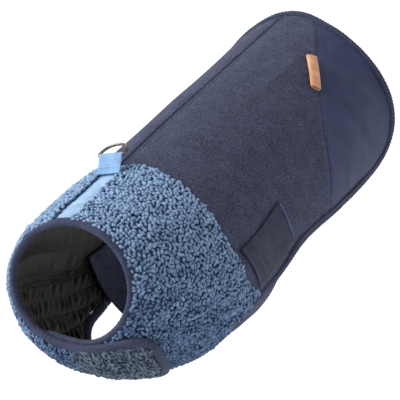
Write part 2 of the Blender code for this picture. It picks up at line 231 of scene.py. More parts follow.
def flat_patch(face, most):
    """The faces that lie flat with this one. The search ends once there are this many."""
    patch, waiting = {face}, [face]
    while waiting and len(patch) < most:
        for edge in waiting.pop().edges:
            for other in edge.link_faces:
                if other not in patch and other.normal.dot(face.normal) > SAME_PLANE:
                    patch.add(other)
                    waiting.append(other)
    return patch


def rings_of(node):
    """Rings of points along a binding, from one closed end to the other."""
    form = welded(node)
    near = neighbours(form)
    form.verts.ensure_lookup_table()
    for face in form.faces:
        cap = flat_patch(face, RING_CORNERS + 1)
        ring = {v.index for f in cap for v in f.verts}
        wide = max(np.ptp([v.co[:] for f in cap for v in f.verts], axis=0))
        if len(cap) == RING_CORNERS - 2 and len(ring) == RING_CORNERS and wide < WIDEST_CAP:
            break
    rings, used = [], set()
    while ring:
        rings.append(np.array([form.verts[v].co[:] for v in ring]))
        used |= ring
        ring = set().union(*(near[v] for v in ring)) - used
    form.free()
    return rings


# ---- smooth surfaces through the grids ------------------------------------------------------


def through(places, count):
    """Weights of a smooth curve through a number of points, at these places along it."""
    weights = np.zeros((len(places), count))
    for k, place in enumerate(places):
        i = min(int(place), count - 2)
        f = place - i
        shares = (
            (-f + 2 * f**2 - f**3) / 2,
            1 - 2.5 * f**2 + 1.5 * f**3,
            (f + 4 * f**2 - 3 * f**3) / 2,
            (f**3 - f**2) / 2,
        )
        for j, share in zip(range(i - 1, i + 3), shares):
            if j < 0:
                weights[k, 0] += 2 * share
                weights[k, 1] -= share
            elif j > count - 1:
                weights[k, -1] += 2 * share
                weights[k, -2] -= share
            else:
                weights[k, j] += share
    return weights


def distances_mm(points):
    """Distance of each point of a line from its first, along the line."""
    steps = np.linalg.norm(np.diff(points, axis=0), axis=1)
    return np.concatenate([[0], np.cumsum(steps)]) / MM


def even_places(lengths, spacing):
    """Places at even spacing along a row of steps of these lengths."""
    marks = np.concatenate([[0], np.cumsum(lengths)])
    steps = max(2, math.ceil(marks[-1] / spacing))
    return np.interp(np.linspace(0, marks[-1], steps + 1), marks, np.arange(len(marks)))


def unit(vectors):
    """Directions of these vectors."""
    return vectors / np.maximum(np.linalg.norm(vectors, axis=-1, keepdims=True), 1e-12)


def normals_of(points, towards):
    """Normals of a grid of points, on the side that these directions point to."""
    out = unit(np.cross(np.gradient(points, axis=0), np.gradient(points, axis=1)))
    return out if (out * towards).sum(-1).mean() > 0 else -out


class Cloth:
    """A fine grid of points on one side of a cloth wall, with the outward normal and two measures.

    down is the distance in mm from the edge nearest the spine, and back that from the neck edge.
    """

    def __init__(self, grid, spacing_mm, sign=1):
        spacing = spacing_mm * MM
        round_body = even_places(np.linalg.norm(np.diff(grid, axis=0), axis=2).mean(1), spacing)
        lengthways = even_places(np.linalg.norm(np.diff(grid, axis=1), axis=2).mean(0), spacing)
        across = through(round_body, grid.shape[0])
        along = through(lengthways, grid.shape[1])
        self.points = np.einsum("ir,rck,jc->ijk", across, grid, along)
        self.normals = normals_of(self.points, sign * away_from_middle(self.points))
        self.down = self.measure(0)
        self.back = self.measure(1)
        self.down_end = self.down[-1:] - self.down
        self.back_end = self.back[:, -1:] - self.back

    def measure(self, axis):
        steps = np.linalg.norm(np.diff(self.points, axis=axis), axis=2) / MM
        return np.concatenate([np.zeros_like(steps.take([0], axis)), np.cumsum(steps, axis)], axis)

    def reach_under(self, *edges, lift_mm=0.0):
        """Draws these edges out under the bindings that hold them, lifted away from the body."""
        for edge in edges:
            line, near = {
                "neck": (self.points[:, 0], self.points[:, 1]),
                "tail": (self.points[:, -1], self.points[:, -2]),
                "low": (self.points[-1], self.points[-2]),
            }[edge]
            line += unit(line - near) * UNDER_BINDING + away_from_middle(line) * lift_mm * MM

    def lifted(self, height_mm):
        return self.points + self.normals * (np.asarray(height_mm) * MM)[..., None]

    def line(self, down_share, back_share):
        """Points and normals at these shares of the panel, from 0 to 1, down and back."""
        m, n = self.down.shape
        down_share, back_share = np.broadcast_arrays(down_share, back_share)
        i, j = down_share * (m - 1), back_share * (n - 1)
        i0, j0 = np.minimum(i.astype(int), m - 2), np.minimum(j.astype(int), n - 2)
        fi, fj = (i - i0)[:, None], (j - j0)[:, None]

        def read(field):
            return (
                field[i0, j0] * (1 - fi) * (1 - fj)
                + field[i0 + 1, j0] * fi * (1 - fj)
                + field[i0, j0 + 1] * (1 - fi) * fj
                + field[i0 + 1, j0 + 1] * fi * fj
            )

        return read(self.points), unit(read(self.normals))


def waves(points, size_mm, seed, count=14):
    """Soft uneven heights, about -1 to 1, as loose cloth has, with swells of about this size."""
    random = np.random.default_rng(seed)
    total = np.zeros(points.shape[:-1])
    for _ in range(count):
        heading = random.normal(size=3)
        heading /= np.linalg.norm(heading)
        length = size_mm * MM * random.uniform(0.6, 1.7)
        total += np.sin(points @ heading * (2 * math.pi / length) + random.uniform(0, 2 * math.pi))
    return total / math.sqrt(count)


def creases(cloth, table):
    """Heights of soft folds, in mm. Columns of the table: share down, share back, length, heading
    in degrees from the tail direction, width, height and bow, all in mm."""
    height = np.zeros_like(cloth.down)
    m, n = cloth.down.shape
    for down_share, back_share, length, heading, width, rise, bow in table:
        i, j = round(down_share * (m - 1)), round(back_share * (n - 1))
        down, back = cloth.down - cloth.down[i, j], cloth.back - cloth.back[i, j]
        c, s = math.cos(math.radians(heading)), math.sin(math.radians(heading))
        run, off = back * c + down * s, down * c - back * s
        ends = (run / (length / 2)) ** 2
        off = off - bow * (1 - ends)
        height += rise * np.exp(-((off / width) ** 2)) * np.exp(-ends * CREASE_FADE)
    return height


def ridge(distance, height, width):
    """A soft ridge along an edge or a seam, in mm."""
    return height * np.exp(-((distance / width) ** 2))


def dip(distance, depth, width):
    """A groove along an edge or a seam, in mm."""
    return ridge(distance, -depth, width)


def soft_step(value, low, high):
    """0 below low, 1 above high, and a smooth rise between them."""
    share = np.clip((value - low) / (high - low), 0, 1)
    return share * share * (3 - 2 * share)


# ---- meshes from arrays ---------------------------------------------------------------------


def mesh_object(name, points, faces, material, smooth=True):
    """An object from an array of points and arrays of faces with equal numbers of corners."""
    mesh = bpy.data.meshes.new(name)
    mesh.vertices.add(len(points))
    mesh.vertices.foreach_set("co", np.asarray(points, np.float32).ravel())
    corners = np.concatenate([np.asarray(block).ravel() for block in faces])
    sizes = np.concatenate([np.full(len(block), np.shape(block)[1]) for block in faces])
    mesh.loops.add(len(corners))
    mesh.loops.foreach_set("vertex_index", corners.astype(np.int32))
    mesh.polygons.add(len(sizes))
    starts = np.concatenate([[0], np.cumsum(sizes)[:-1]])
    mesh.polygons.foreach_set("loop_start", starts.astype(np.int32))
    mesh.polygons.foreach_set("loop_total", sizes.astype(np.int32))
    mesh.update(calc_edges=True)
    mesh.polygons.foreach_set("use_smooth", np.full(len(sizes), smooth))
    mesh.materials.append(material)
    obj = bpy.data.objects.new(name, mesh)
    bpy.context.scene.collection.objects.link(obj)
    return obj


def add_values(obj, name, values):
    """Stores one number, or one vector, for each point of the mesh."""
    values = np.asarray(values, np.float32)
    kind, field = ("FLOAT_VECTOR", "vector") if values.ndim > 1 else ("FLOAT", "value")
    obj.data.attributes.new(name, kind, "POINT").data.foreach_set(field, values.ravel())


def grid_faces(m, n, first=0, close=False):
    """Faces of a grid of m by n points, joined round to its start along n where close is set."""
    i, j = np.meshgrid(np.arange(m - 1), np.arange(n if close else n - 1), indexing="ij")
    a, b = first + i * n + j, first + i * n + (j + 1) % n
    return np.stack([a, a + n, b + n, b], -1).reshape(-1, 4)


def rim_faces(m, n, second):
    """Faces that join the edges of two grids of m by n points."""
    top = np.arange(n)
    low = top + (m - 1) * n
    left = np.arange(m) * n
    right = left + n - 1
    found = []
    for line in (top, right, low[::-1], left[::-1]):
        a, b = line[:-1], line[1:]
        found.append(np.stack([a, b, b + second, a + second], -1))
    return np.concatenate(found)


def shell_faces(m, n):
    """Faces of a closed shell: a grid, a second one behind it, and the rim between them."""
    second = m * n
    return np.concatenate([grid_faces(m, n), grid_faces(m, n, second)[:, ::-1], rim_faces(m, n, second)])


def shell(name, cloth, height_mm, thickness_mm, material):
    """A closed thin shell: the cloth's surface with these heights, and a plain side behind it."""
    face = cloth.lifted(height_mm)
    behind = cloth.lifted(np.minimum(height_mm, 0) - thickness_mm)
    faces = shell_faces(*cloth.down.shape)
    first_face = np.cross(face[1, 0] - face[0, 0], face[0, 1] - face[0, 0])
    if np.dot(first_face, cloth.normals[0, 0]) <= 0:
        faces = faces[:, ::-1]
    points = np.concatenate([face.reshape(-1, 3), behind.reshape(-1, 3)])
    obj = mesh_object(name, points, [faces], material)
    cut = np.stack([cloth.back, cloth.down, np.zeros_like(cloth.down)], -1).reshape(-1, 3) * MM
    add_values(obj, "cut", np.concatenate([cut, cut]))
    return obj


def copies(name, shapes, kinds, places, frames, material, values=None):
    """Many small copies joined as one mesh. shapes is a list of (points, quads, caps); frames holds
    for each copy the three vectors that its x, y and z run along."""
    points, quads, caps, extra, total = [], [], [], {"rise": []}, 0
    for kind, (shape, shape_quads, shape_caps) in enumerate(shapes):
        chosen = np.flatnonzero(kinds == kind)
        moved = places[chosen][:, None] + np.einsum("pk,ckj->cpj", shape, frames[chosen])
        base = total + np.arange(len(chosen))[:, None, None] * len(shape)
        quads.append((shape_quads[None] + base).reshape(-1, 4))
        caps.append((shape_caps[None] + base).reshape(-1, shape_caps.shape[1]))
        points.append(moved.reshape(-1, 3))
        extra["rise"].append(np.tile(shape[:, 2], len(chosen)))
        for key, per_copy in (values or {}).items():
            extra.setdefault(key, []).append(np.repeat(per_copy[chosen], len(shape)))
        total += len(chosen) * len(shape)
    faces = [np.concatenate(quads), np.concatenate(caps)]
    obj = mesh_object(name, np.concatenate(points), faces, material)
    for key, parts in extra.items():
        add_values(obj, key, np.concatenate(parts))
    return obj


def round_section(sides):
    """Cosines and sines of even turns, as columns that multiply vectors."""
    turn = 2 * math.pi * np.arange(sides) / sides
    return np.cos(turn)[None, :, None], np.sin(turn)[None, :, None]


def bead(rings, sides):
    """A closed small tube through rings of (centre x, y, z, radius), as (points, quads, caps)."""
    rings = np.asarray(rings, float)
    centres, radii = rings[:, :3], rings[:, 3]
    run = unit(np.gradient(centres, axis=0))
    side = unit(np.cross(run, (0, 0, 1.0)) + 1e-9)
    up = np.cross(side, run)
    cosines, sines = round_section(sides)
    ring = cosines * side[:, None] + sines * up[:, None]
    points = (centres[:, None] + ring * radii[:, None, None]).reshape(-1, 3)
    count = len(rings)
    first, last = np.arange(sides), np.arange(sides) + (count - 1) * sides

    def facing_out(faces, inside):
        turned = []
        for face, core in zip(faces, inside):
            a, b, c = points[face[:3]]
            turned.append(face if np.cross(b - a, c - b) @ (a - core) > 0 else face[::-1])
        return np.array(turned)

    walls = grid_faces(count, sides, close=True)
    cores = np.repeat((centres[1:] + centres[:-1]) / 2, sides, axis=0)
    return points, facing_out(walls, cores), facing_out([first, last], centres[[1, -2]])


def tube(name, path, radius, material, sides=20, close=True):
    """A round wire along a closed or open path of points."""
    path = np.asarray(path, float)
    run = np.roll(path, -1, 0) - np.roll(path, 1, 0)
    if not close:
        run[0], run[-1] = path[1] - path[0], path[-1] - path[-2]
    third, two_thirds = path[len(path) // 3], path[2 * len(path) // 3]
    flat = unit(np.cross(third - path[0], two_thirds - path[0]))
    side = np.cross(unit(run), flat)
    cosines, sines = round_section(sides)
    ring = cosines * side[:, None] + sines * flat
    points = (path[:, None] + ring * radius).reshape(-1, 3)
    faces = grid_faces(len(path), sides, close=True)
    if close:
        k = np.arange(sides)
        after = (k + 1) % sides
        last = (len(path) - 1) * sides
        faces = np.concatenate([faces, np.stack([last + k, k, after, last + after], -1)])
    obj = mesh_object(name, points, [faces], material)
    outward(obj)
    return obj


def outward(obj):
    """Turns every face of a closed mesh to look outwards."""
    form = bmesh.new()
    form.from_mesh(obj.data)
    bmesh.ops.recalc_face_normals(form, faces=form.faces)
    form.to_mesh(obj.data)
    form.free()


def object_of(name, form, material):
    """A smooth object from a bmesh, which is freed."""
    mesh = bpy.data.meshes.new(name)
    form.to_mesh(mesh)
    form.free()
    mesh.materials.append(material)
    mesh.polygons.foreach_set("use_smooth", np.ones(len(mesh.polygons), bool))
    obj = bpy.data.objects.new(name, mesh)
    bpy.context.scene.collection.objects.link(obj)
    return obj


def joined(name, made):
    """Several objects made into one."""
    form = bmesh.new()
    for obj in made:
        form.from_mesh(obj.data)
    material = made[0].data.materials[0]
    for obj in made:
        bpy.data.objects.remove(obj, do_unlink=True)
    return object_of(name, form, material)


# ---- shader groups --------------------------------------------------------------------------


def put(tree, kind, inputs=None, **settings):
    """Adds a node, with its settings, and its inputs set or linked."""
    node = tree.nodes.new("ShaderNode" + kind)
    for key, value in settings.items():
        setattr(node, key, value)
    for key, value in (inputs or {}).items():
        if isinstance(value, bpy.types.NodeSocket):
            tree.links.new(value, node.inputs[key])
        else:
            node.inputs[key].default_value = value
    return node


def new_group(name, inputs, outputs):
    """A shader group with these (label, default) inputs and these outputs, all plain numbers."""
    tree = bpy.data.node_groups.new(name, "ShaderNodeTree")
    for label, default in inputs:
        socket = tree.interface.new_socket(label, in_out="INPUT", socket_type="NodeSocketFloat")
        socket.default_value = default
    for label in outputs:
        tree.interface.new_socket(label, in_out="OUTPUT", socket_type="NodeSocketFloat")
    return tree, tree.nodes.new("NodeGroupInput"), tree.nodes.new("NodeGroupOutput")


def grain_group():
    """Fine uneven speckle, and a slower cloudiness, in the object's own space. Sizes in mm."""
    inputs = (("Size", 1.0), ("Cloud", 12.0), ("Stretch", 1.0))
    tree, entry, leave = new_group("grain", inputs, ("Speckle", "Cloudiness"))
    place = put(tree, "TexCoord").outputs["Object"]
    squeeze = put(tree, "CombineXYZ", {0: 1.0, 1: entry.outputs["Stretch"], 2: 1.0})
    drawn = put(tree, "VectorMath", {0: place, 1: squeeze.outputs[0]}, operation="MULTIPLY")
    for label, out, detail in (("Size", "Speckle", 3.0), ("Cloud", "Cloudiness", 2.0)):
        scale = put(tree, "Math", {0: 1 / MM, 1: entry.outputs[label]}, operation="DIVIDE")
        settings = {"Vector": drawn.outputs[0], "Scale": scale.outputs[0], "Detail": detail}
        noise = put(tree, "TexNoise", settings)
        tree.links.new(noise.outputs["Fac"], leave.inputs[out])
    return tree


def weave_group():
    """Crossing yarns laid along the cut of the cloth. Pitch in mm; Rib is 1 for cross ribs only."""
    tree, entry, leave = new_group("weave", (("Pitch", 0.6), ("Rib", 0.0)), ("Height",))
    cut = put(tree, "Attribute", attribute_name="cut").outputs["Vector"]
    turns = put(tree, "Math", {0: 2000 * math.pi, 1: entry.outputs["Pitch"]}, operation="DIVIDE")
    wide = put(tree, "VectorMath", {0: cut, "Scale": turns.outputs[0]}, operation="SCALE")
    parts = put(tree, "SeparateXYZ", {0: wide.outputs[0]})
    warp = put(tree, "Math", {0: parts.outputs[0]}, operation="SINE")
    weft = put(tree, "Math", {0: parts.outputs[1]}, operation="SINE")
    crossed = put(tree, "Math", {0: warp.outputs[0], 1: weft.outputs[0]}, operation="MULTIPLY")
    height = put(tree, "Mix", {0: entry.outputs["Rib"], 2: crossed.outputs[0], 3: warp.outputs[0]})
    raised = put(tree, "MapRange", {0: height.outputs[0], 1: -1.0, 2: 1.0, 3: 0.0, 4: 1.0})
    tree.links.new(raised.outputs[0], leave.inputs["Height"])
    return tree


GRAIN, WEAVE = grain_group(), weave_group()


def use(tree, group, **values):
    """Places a shader group in a material, with its inputs set."""
    node = tree.nodes.new("ShaderNodeGroup")
    node.node_tree = group
    for label, value in values.items():
        node.inputs[label].default_value = value
    return node


# ---- finishes -------------------------------------------------------------------------------


def finish_of(name, roughness, sheen=0.0, sheen_roughness=0.5, metallic=0.0, tint=(1, 1, 1), shine=0.15):
    """A new material, with its node tree and its shader."""
    material = bpy.data.materials.new(name)
    material.use_nodes = True
    shader = material.node_tree.nodes["Principled BSDF"]
    shader.inputs["Specular IOR Level"].default_value = shine
    shader.inputs["Roughness"].default_value = roughness
    shader.inputs["Metallic"].default_value = metallic
    shader.inputs["Sheen Weight"].default_value = sheen
    shader.inputs["Sheen Roughness"].default_value = sheen_roughness
    shader.inputs["Sheen Tint"].default_value = (*tint, 1)
    return material, material.node_tree, shader


def blend_colours(tree, factor, low, high):
    """Colour between low and high by a 0 to 1 factor. Each is a colour or a colour output."""
    node = put(tree, "Mix", {"Factor": factor}, data_type="RGBA")
    for key, value in ((6, low), (7, high)):
        if isinstance(value, bpy.types.NodeSocket):
            tree.links.new(value, node.inputs[key])
        else:
            node.inputs[key].default_value = (*value, 1)
    return node.outputs[2]


def stretch(tree, value, low, high, to_low=0.0, to_high=1.0):
    """Maps low to high onto to_low to to_high, and holds it at those ends."""
    return put(tree, "MapRange", {0: value, 1: low, 2: high, 3: to_low, 4: to_high}).outputs[0]


def toned(tree, colour, factor):
    """A colour made lighter or darker by a factor."""
    return put(tree, "VectorMath", {0: colour, "Scale": factor}, operation="SCALE").outputs[0]


def bump(tree, shader, height, distance_mm, strength, under=None):
    """Relief in the shading, laid over another bump's normal where one is given."""
    inputs = {"Height": height, "Distance": distance_mm * MM, "Strength": strength}
    if under:
        inputs["Normal"] = under
    node = put(tree, "Bump", inputs)
    tree.links.new(node.outputs["Normal"], shader.inputs["Normal"])
    return node.outputs["Normal"]


def cloth_finish(
    name, dark, light, size, cloud, roughness, bump_mm, pitch=0.0, rib=0.0, weave_mm=0.0, **sheen
):
    """Cloth with a speckled nap, and with a weave on it where a pitch is given. Sizes in mm."""
    material, tree, shader = finish_of(name, roughness, **sheen)
    grain = use(tree, GRAIN, Size=size, Cloud=cloud)
    speckle = stretch(tree, grain.outputs["Speckle"], 0.32, 0.68)
    clouds = stretch(tree, grain.outputs["Cloudiness"], 0.3, 0.7, 0.82, 1.16)
    colour = toned(tree, blend_colours(tree, speckle, dark, light), clouds)
    tree.links.new(colour, shader.inputs["Base Color"])
    normal = bump(tree, shader, grain.outputs["Speckle"], bump_mm, 0.8)
    if pitch:
        weave = use(tree, WEAVE, Pitch=pitch, Rib=rib)
        bump(tree, shader, weave.outputs["Height"], weave_mm, 0.9, under=normal)
    return material


def pile_finish(name, root, body, tip, faded_root, faded_tip):
    """Curls: painted shade darkens them at the root and painted light makes them pale at the tip; each
    carries its own tone and painted shade, and they are greyer where pressed.
    """
    material, tree, shader = finish_of(
        name, 0.92, sheen=0.1, sheen_roughness=0.6, tint=(0.6, 0.75, 1.0), shine=0.1
    )
    rise = put(tree, "Attribute", attribute_name="rise").outputs["Fac"]
    tone_and_painted_shade = put(tree, "Attribute", attribute_name="tone_and_painted_shade").outputs["Fac"]
    pressed = put(tree, "Attribute", attribute_name="pressed").outputs["Fac"]
    grain = use(tree, GRAIN, Size=0.9, Cloud=7.0)
    speckle = stretch(tree, grain.outputs["Speckle"], 0.35, 0.65, -0.16, 0.16)
    # Lower on a curl is darker: painted shade at the roots and painted light at the tips.
    shaded = put(tree, "Math", {0: stretch(tree, rise, 0.2, 2.5), 1: tone_and_painted_shade}, operation="ADD")
    lit = put(tree, "Math", {0: shaded.outputs[0], 1: speckle}, operation="ADD").outputs[0]
    low = blend_colours(tree, stretch(tree, lit, 0.0, 0.55), root, body)
    colour = blend_colours(tree, stretch(tree, lit, 0.55, 1.25), low, tip)
    faded = blend_colours(tree, stretch(tree, lit, 0.1, 1.1), faded_root, faded_tip)
    tree.links.new(blend_colours(tree, pressed, colour, faded), shader.inputs["Base Color"])
    bump(tree, shader, grain.outputs["Speckle"], 0.35, 0.8)
    return material


def metal_finish():
    """Dark nickel plate, worn warm in places."""
    material, tree, shader = finish_of("dark_nickel", 0.28, metallic=1.0, shine=0.5)
    grain = use(tree, GRAIN, Size=1.2, Cloud=5.0)
    worn = stretch(tree, grain.outputs["Cloudiness"], 0.4, 0.62)
    colour = blend_colours(tree, worn, (0.07, 0.065, 0.06), (0.4, 0.34, 0.26))
    tree.links.new(colour, shader.inputs["Base Color"])
    rough = stretch(tree, grain.outputs["Speckle"], 0.3, 0.7, 0.2, 0.42)
    tree.links.new(rough, shader.inputs["Roughness"])
    bump(tree, shader, grain.outputs["Speckle"], 0.05, 0.4)
    return material


def leather_finish():
    """Tan leather, clouded, with fine pores."""
    material, tree, shader = finish_of("tan_leather", 0.55, shine=0.4)
    grain = use(tree, GRAIN, Size=1.1, Cloud=9.0)
    place = put(tree, "TexCoord").outputs["Object"]
    cells = put(tree, "TexVoronoi", {"Vector": place, "Scale": 1500.0}).outputs["Distance"]
    clouds = stretch(tree, grain.outputs["Cloudiness"], 0.3, 0.7)
    colour = blend_colours(tree, clouds, (0.5, 0.225, 0.105), (0.7, 0.37, 0.2))
    pores = stretch(tree, cells, 0.0, 0.25, 0.75, 1.0)
    tree.links.new(toned(tree, colour, pores), shader.inputs["Base Color"])
    bump(tree, shader, cells, 0.12, 0.6)
    return material


# root and faded_root are painted shade at the curls' roots; tip and faded_tip are painted light at their
# tips.
SHERPA = pile_finish(
    "sherpa_pile", root=(0.03, 0.055, 0.11), body=(0.09, 0.15, 0.265), tip=(0.24, 0.36, 0.54),
    faded_root=(0.045, 0.065, 0.1), faded_tip=(0.29, 0.35, 0.42),
)
# The backing under the curls, coloured as dark as their roots: painted shade in the gaps between them.
GROUND = cloth_finish(
    "sherpa_ground", (0.03, 0.055, 0.11), (0.075, 0.125, 0.22),
    size=1.5, cloud=10.0, roughness=0.95, bump_mm=0.3,
)
FLEECE = cloth_finish(
    "fleece", (0.012, 0.014, 0.031), (0.074, 0.083, 0.143),
    size=1.5, cloud=16.0, roughness=0.95, bump_mm=0.7,
    sheen=0.08, sheen_roughness=0.5, tint=(0.75, 0.8, 1.0),
)
SMOOTH = cloth_finish(
    "smooth_weave", (0.029, 0.038, 0.092), (0.037, 0.046, 0.107),
    size=2.5, cloud=24.0, roughness=0.6, bump_mm=0.06, pitch=0.9, weave_mm=0.05,
    sheen=0.05, sheen_roughness=0.4, tint=(0.8, 0.85, 1.0),
)
PATCH = cloth_finish(
    "patch_weave", (0.017, 0.02, 0.044), (0.026, 0.03, 0.06),
    size=2.5, cloud=18.0, roughness=0.6, bump_mm=0.06, pitch=0.9, weave_mm=0.05,
    sheen=0.04, sheen_roughness=0.4, tint=(0.8, 0.85, 1.0),
)
QUILT = cloth_finish(
    "quilted_satin", (0.007, 0.0055, 0.004), (0.016, 0.0125, 0.009),
    size=2.0, cloud=18.0, roughness=0.5, bump_mm=0.08, pitch=0.8, weave_mm=0.04,
    sheen=0.04, sheen_roughness=0.35, tint=(1.0, 0.85, 0.7),
)
BINDING = cloth_finish(
    "knit_binding", (0.022, 0.027, 0.055), (0.052, 0.06, 0.112),
    size=1.0, cloud=14.0, roughness=0.85, bump_mm=0.15,
    sheen=0.1, sheen_roughness=0.5, tint=(0.75, 0.8, 1.0),
)
# A raised cord along the patch's rear edge, coloured pale blue as a painted highlight.
PAINTED_HIGHLIGHT_PIPING = cloth_finish(
    "patch_painted_highlight_piping", (0.06, 0.085, 0.19), (0.11, 0.15, 0.3),
    size=0.8, cloud=9.0, roughness=0.6, bump_mm=0.05,
)
WEBBING = cloth_finish(
    "ribbed_webbing", (0.23, 0.37, 0.56), (0.36, 0.52, 0.7),
    size=0.8, cloud=12.0, roughness=0.75, bump_mm=0.1, pitch=1.5, rib=0.75, weave_mm=0.28,
    sheen=0.05, sheen_roughness=0.5,
)
KEEPER = cloth_finish(
    "keeper_webbing", (0.16, 0.31, 0.52), (0.27, 0.43, 0.66),
    size=0.7, cloud=10.0, roughness=0.75, bump_mm=0.08, pitch=1.5, rib=0.3, weave_mm=0.2,
    sheen=0.05, sheen_roughness=0.5,
)


def thread_finish(name, dark, light):
    return cloth_finish(name, dark, light, size=0.4, cloud=6.0, roughness=0.6, bump_mm=0.05)
THREAD = thread_finish("navy_thread", (0.045, 0.052, 0.1), (0.1, 0.115, 0.2))
QUILT_THREAD = thread_finish("brown_thread", (0.12, 0.1, 0.075), (0.24, 0.2, 0.155))
BLUE_THREAD = thread_finish("blue_thread", (0.06, 0.14, 0.29), (0.13, 0.26, 0.46))
METAL = metal_finish()
LEATHER = leather_finish()


# ---- threads --------------------------------------------------------------------------------

STITCH_SIDES = 5
# Rings of a stitch. Columns: place as a share of its length, height and radius as shares of the thread's.
STITCH_RINGS = ((-0.5, -0.25, 0.4), (-0.25, 0.3, 1), (0.25, 0.3, 1), (0.5, -0.25, 0.4))
STITCH = bead([(along, 0, high, radius) for along, high, radius in STITCH_RINGS], STITCH_SIDES)

# Rows of stitches. Columns: stitch, gap, thread radius and lift off the cloth in mm, and the thread.
ROWS = {
    "spine": (2.3, 0.9, 0.22, -0.35, THREAD),
    "tail": (2.2, 0.9, 0.20, -0.10, THREAD),
    "patch": (1.9, 0.8, 0.20, -0.10, THREAD),
    "quilting": (2.4, 1.3, 0.34, -0.75, QUILT_THREAD),
    "webbing": (2.0, 0.8, 0.20, 0.0, BLUE_THREAD),
    "belly": (2.3, 0.9, 0.20, -0.20, THREAD),
}


def square_to(vectors, axes):
    """Directions of these vectors, turned square to the axes."""
    return unit(vectors - axes * (vectors * axes).sum(-1, keepdims=True))


def at_marks(where, marks, field):
    """Vectors along a line, read at these distances."""
    return np.stack([np.interp(where, marks, field[:, k]) for k in range(3)], 1)


def stitches(name, starts, ends, normals, radius_mm, material):
    """One raised stitch of thread from each start to each end."""
    run = ends - starts
    ahead = unit(run)
    up = square_to(normals, ahead)
    aside = np.cross(up, ahead)
    thick = radius_mm * MM
    frames = np.stack([run, aside * thick, up * thick], 1)
    points, quads, caps = STITCH
    # A stitch's length stretches x, so its rings stand square to x.
    shape = points.copy()
    shape[:, 0] = np.repeat([along for along, _, _ in STITCH_RINGS], STITCH_SIDES)
    kinds = np.zeros(len(run), int)
    return copies(name, [(shape, quads, caps)], kinds, (starts + ends) / 2, frames, material)


def seam_stitches(name, line, kind):
    """A straight row of stitches along a line, which is its points and normals."""
    points, normals = line
    stitch, gap, radius, lift, thread = ROWS[kind]
    marks = distances_mm(points)
    begin = np.arange(gap, marks[-1] - stitch - gap, stitch + gap)
    raised = points + normals * lift * MM
    up = unit(at_marks(begin + stitch / 2, marks, normals))
    starts, ends = at_marks(begin, marks, raised), at_marks(begin + stitch, marks, raised)
    return stitches(name, starts, ends, up, radius, thread)


# ---- the curly pile -------------------------------------------------------------------------

# Least gap between curls and reach of the overhang, in mm; tries for each curl; and a small share
# of a panel, to read directions by.
PILE_GAP = 2.75
OVERHANG_REACH = 5
PILE_TRIES = 5
NUDGE = 0.01
CURL_SIDES = 5
# Curls, sizes in mm. Columns: radius of the arch, sweep in degrees, thickness, height.
CURLS = (
    (1.8, 150, 1.35, 1.0), (1.5, 190, 1.2, 1.2), (2.3, 110, 1.4, 0.9), (1.4, 170, 1.45, 0.8),
    (2.7, 80, 1.3, 1.1),
)
# Rings of a curl. Columns: shares of its sweep, of its thickness and of its height.
CURL_RINGS = ((0, 0.55, -0.1), (0.22, 0.95, 0.62), (0.5, 1.1, 1.0), (0.78, 0.95, 0.6), (1, 0.5, -0.1))


def curl(radius, sweep, thick, high):
    """A fat arched curl that springs from the ground and goes back to it."""
    rings = []
    for share, taper, lift in CURL_RINGS:
        turn = math.radians(sweep) * (share - 0.5)
        along, aside = radius * math.sin(turn), radius * (math.cos(turn) - 0.75)
        rings.append((along, aside, 0.6 + high * lift, thick * taper))
    return bead(rings, CURL_SIDES)


def cell_areas(points):
    """Areas of the cells of a grid of points."""
    a = points[1:, :-1] - points[:-1, :-1]
    b = points[:-1, 1:] - points[:-1, :-1]
    return np.linalg.norm(np.cross(a, b), axis=2)


def spread(cloth, gap_mm, tries, seed):
    """Shares down and back of places on a panel, no two nearer than the gap."""
    random = np.random.default_rng(seed)
    m, n = cloth.down.shape
    gap = gap_mm * MM
    cells = cell_areas(cloth.points)
    count = int(cells.sum() / gap**2 * tries)
    chosen = random.choice(cells.size, count, p=(cells / cells.sum()).ravel())
    down = (chosen // (n - 1) + random.random(count)) / (m - 1)
    back = (chosen % (n - 1) + random.random(count)) / (n - 1)
    places, _ = cloth.line(down, back)
    boxes = np.floor(places / gap).astype(int)
    steps = list(itertools.product((-1, 0, 1), repeat=3))
    kept, taken = [], {}

    def crowded(place, x, y, z):
        near = (other for a, b, c in steps for other in taken.get((x + a, y + b, z + c), ()))
        return any(math.dist(place, other) < gap for other in near)

    for k, (place, box) in enumerate(zip(places.tolist(), boxes.tolist())):
        if not crowded(place, *box):
            taken.setdefault(tuple(box), []).append(place)
            kept.append(k)
    return down[kept], back[kept]


